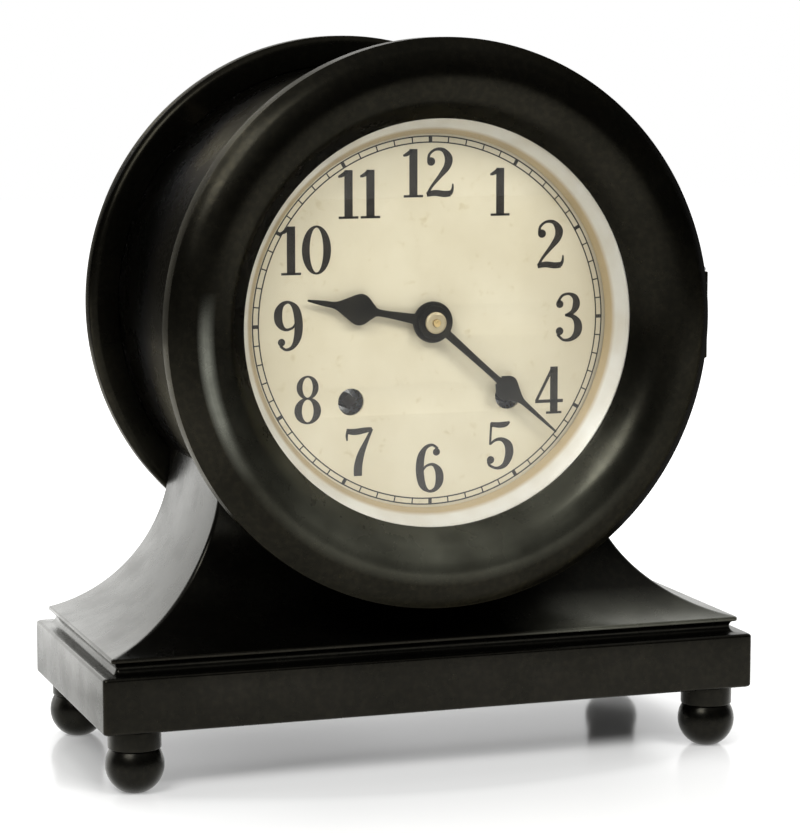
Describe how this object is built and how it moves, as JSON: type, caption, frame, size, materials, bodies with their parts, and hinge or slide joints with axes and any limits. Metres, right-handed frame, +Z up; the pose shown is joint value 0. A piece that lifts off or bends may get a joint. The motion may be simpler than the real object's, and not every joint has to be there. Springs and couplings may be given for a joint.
{
  "type": "ships bell clock",
  "caption": "Ship's bell mantel clock: round bronze case with a hinged glazed bezel, Arabic dial and spade hands over a geared striking movement, on a swept plinth with ball feet.",
  "frame": {"origin": "on the table, under the middle of the overall box", "axes": "+X to the viewer's right, +Y to the back, +Z up; the dial faces -Y"},
  "size_m": [0.2658, 0.143, 0.2841],
  "materials": {
    "bronze_case": "dark patinated bronze, satin",
    "movement_brass": "polished brass",
    "steel": "polished steel",
    "spring_steel": "blued spring steel",
    "blackened_hands": "blackened",
    "dial_enamel": "cream, satin",
    "silvered_ring": "silvered",
    "bell_metal": "polished bell metal",
    "glass": "clear flat glass"
  },
  "bodies": {
    "case": {"hinge_leaf_case": "bronze_case", "base_casting": "bronze_case", "foot_front_left": "bronze_case", "foot_front_right": "bronze_case", "foot_rear_left": "bronze_case", "foot_rear_right": "bronze_case", "case_drum": "bronze_case", "rear_ring": "bronze_case", "back_cover": "bronze_case", "case_bolt_left": "steel", "case_bolt_right": "steel", "back_cover_screw_1": "steel", "back_cover_screw_2": "steel", "back_cover_screw_3": "steel", "movement_screw_1": "steel", "movement_screw_2": "steel", "movement_screw_3": "steel", "hinge_pin": "steel", "escapement_bridge": "movement_brass", "bell_post": "movement_brass", "bell_nut": "movement_brass", "front_plate": "movement_brass", "back_plate": "movement_brass", "pillar_top": "movement_brass", "pillar_bottom": "movement_brass", "pillar_left": "movement_brass", "pillar_right": "movement_brass", "dial": "dial_enamel", "hairspring": "spring_steel", "bell": "bell_metal"},
    "bezel": {"bezel": "bronze_case", "glass": "glass", "sight_ring": "silvered_ring", "hinge_leaf_bezel": "bronze_case"},
    "minute_hand": {"minute_hand": "blackened_hands", "cannon_pinion": "steel"},
    "hour_hand": {"hour_hand": "blackened_hands", "hour_wheel": "movement_brass"},
    "minute_wheel": {"minute_wheel": "movement_brass"},
    "centre_wheel": {"centre_wheel": "movement_brass", "hand_nut": "movement_brass"},
    "third_wheel": {"third_wheel": "movement_brass"},
    "fourth_wheel": {"fourth_wheel": "movement_brass"},
    "escape_wheel": {"escape_wheel": "movement_brass"},
    "pallet_lever": {"pallet_lever": "steel"},
    "balance": {"balance_wheel": "movement_brass"},
    "time_barrel": {"time_barrel": "movement_brass", "time_mainspring": "spring_steel"},
    "time_winding": {"time_winding_arbor": "steel", "time_ratchet": "steel"},
    "time_click": {"time_click": "steel"},
    "strike_barrel": {"strike_barrel": "movement_brass", "strike_mainspring": "spring_steel"},
    "strike_winding": {"strike_winding_arbor": "steel", "strike_ratchet": "steel"},
    "strike_click": {"strike_click": "steel"},
    "strike_pin_wheel": {"strike_pin_wheel": "movement_brass"},
    "strike_locking_wheel": {"strike_locking_wheel": "movement_brass"},
    "strike_fly": {"strike_fly": "movement_brass"},
    "hammer": {"hammer": "steel"}
  },
  "joints": [
    {"name": "bezel_hinge", "type": "hinge", "parent": "case", "child": "bezel", "pos_m": [0.11, -0.054, 0.175], "axis": [0, 0, 1], "range_deg": [0, 115]},
    {"name": "minute_hand_turn", "type": "hinge", "parent": "case", "child": "minute_hand", "pos_m": [0, 0, 0.175], "axis": [0, 1, 0], "continuous": true},
    {"name": "hour_hand_turn", "type": "hinge", "parent": "case", "child": "hour_hand", "pos_m": [0, 0, 0.175], "axis": [0, 1, 0], "continuous": true},
    {"name": "minute_wheel_turn", "type": "hinge", "parent": "case", "child": "minute_wheel", "pos_m": [-0.008, 0, 0.18886], "axis": [0, 1, 0], "continuous": true},
    {"name": "fourth_wheel_turn", "type": "hinge", "parent": "case", "child": "fourth_wheel", "pos_m": [0.03051, 0, 0.19899], "axis": [0, 1, 0], "continuous": true},
    {"name": "third_wheel_turn", "type": "hinge", "parent": "case", "child": "third_wheel", "pos_m": [0.0108, 0, 0.19371], "axis": [0, 1, 0], "continuous": true},
    {"name": "centre_wheel_turn", "type": "hinge", "parent": "case", "child": "centre_wheel", "pos_m": [0, 0, 0.175], "axis": [0, 1, 0], "continuous": true},
    {"name": "time_barrel_turn", "type": "hinge", "parent": "case", "child": "time_barrel", "pos_m": [0.032, 0, 0.145], "axis": [0, 1, 0], "continuous": true},
    {"name": "escape_wheel_turn", "type": "hinge", "parent": "case", "child": "escape_wheel", "pos_m": [0.02044, 0, 0.21336], "axis": [0, 1, 0], "continuous": true},
    {"name": "pallet_rock", "type": "hinge", "parent": "case", "child": "pallet_lever", "pos_m": [0.00744, 0, 0.21336], "axis": [0, 1, 0], "range_deg": [-4, 4]},
    {"name": "balance_swing", "type": "hinge", "parent": "case", "child": "balance", "pos_m": [-0.00806, 0, 0.21336], "axis": [0, 1, 0], "range_deg": [-135, 135], "stiffness_Nm_per_rad": 0.00012},
    {"name": "time_winding_turn", "type": "hinge", "parent": "case", "child": "time_winding", "pos_m": [0.032, 0, 0.145], "axis": [0, 1, 0], "continuous": true},
    {"name": "time_click_swing", "type": "hinge", "parent": "case", "child": "time_click", "pos_m": [0.04559, 0, 0.13866], "axis": [0, 1, 0], "range_deg": [0, 14], "stiffness_Nm_per_rad": 0.002, "springref_deg": -5.73},
    {"name": "strike_locking_turn", "type": "hinge", "parent": "case", "child": "strike_locking_wheel", "pos_m": [-0.03094, 0, 0.20349], "axis": [0, 1, 0], "continuous": true},
    {"name": "strike_pin_turn", "type": "hinge", "parent": "case", "child": "strike_pin_wheel", "pos_m": [-0.04482, 0, 0.18695], "axis": [0, 1, 0], "continuous": true},
    {"name": "strike_barrel_turn", "type": "hinge", "parent": "case", "child": "strike_barrel", "pos_m": [-0.032, 0, 0.145], "axis": [0, 1, 0], "continuous": true},
    {"name": "strike_fly_turn", "type": "hinge", "parent": "case", "child": "strike_fly", "pos_m": [-0.0274, 0, 0.22358], "axis": [0, 1, 0], "continuous": true},
    {"name": "strike_winding_turn", "type": "hinge", "parent": "case", "child": "strike_winding", "pos_m": [-0.032, 0, 0.145], "axis": [0, 1, 0], "continuous": true},
    {"name": "strike_click_swing", "type": "hinge", "parent": "case", "child": "strike_click", "pos_m": [-0.04677, 0, 0.1476], "axis": [0, 1, 0], "range_deg": [0, 14], "stiffness_Nm_per_rad": 0.002, "springref_deg": -5.73},
    {"name": "hammer_lift", "type": "hinge", "parent": "case", "child": "hammer", "pos_m": [-0.06582, 0, 0.17095], "axis": [0, 1, 0], "range_deg": [0, 12], "stiffness_Nm_per_rad": 0.03, "springref_deg": -11.46}
  ],
  "couplings": [
    {"joint": "hour_hand_turn", "follows": "minute_hand_turn", "ratio": 0.083333},
    {"joint": "minute_wheel_turn", "follows": "minute_hand_turn", "ratio": -0.33333},
    {"joint": "third_wheel_turn", "follows": "fourth_wheel_turn", "ratio": -0.13333},
    {"joint": "centre_wheel_turn", "follows": "fourth_wheel_turn", "ratio": 0.016667},
    {"joint": "time_barrel_turn", "follows": "fourth_wheel_turn", "ratio": -0.0027778},
    {"joint": "escape_wheel_turn", "follows": "fourth_wheel_turn", "ratio": -8},
    {"joint": "strike_pin_turn", "follows": "strike_locking_turn", "ratio": -0.125},
    {"joint": "strike_barrel_turn", "follows": "strike_locking_turn", "ratio": 0.020833},
    {"joint": "strike_fly_turn", "follows": "strike_locking_turn", "ratio": -7.5}
  ]
}
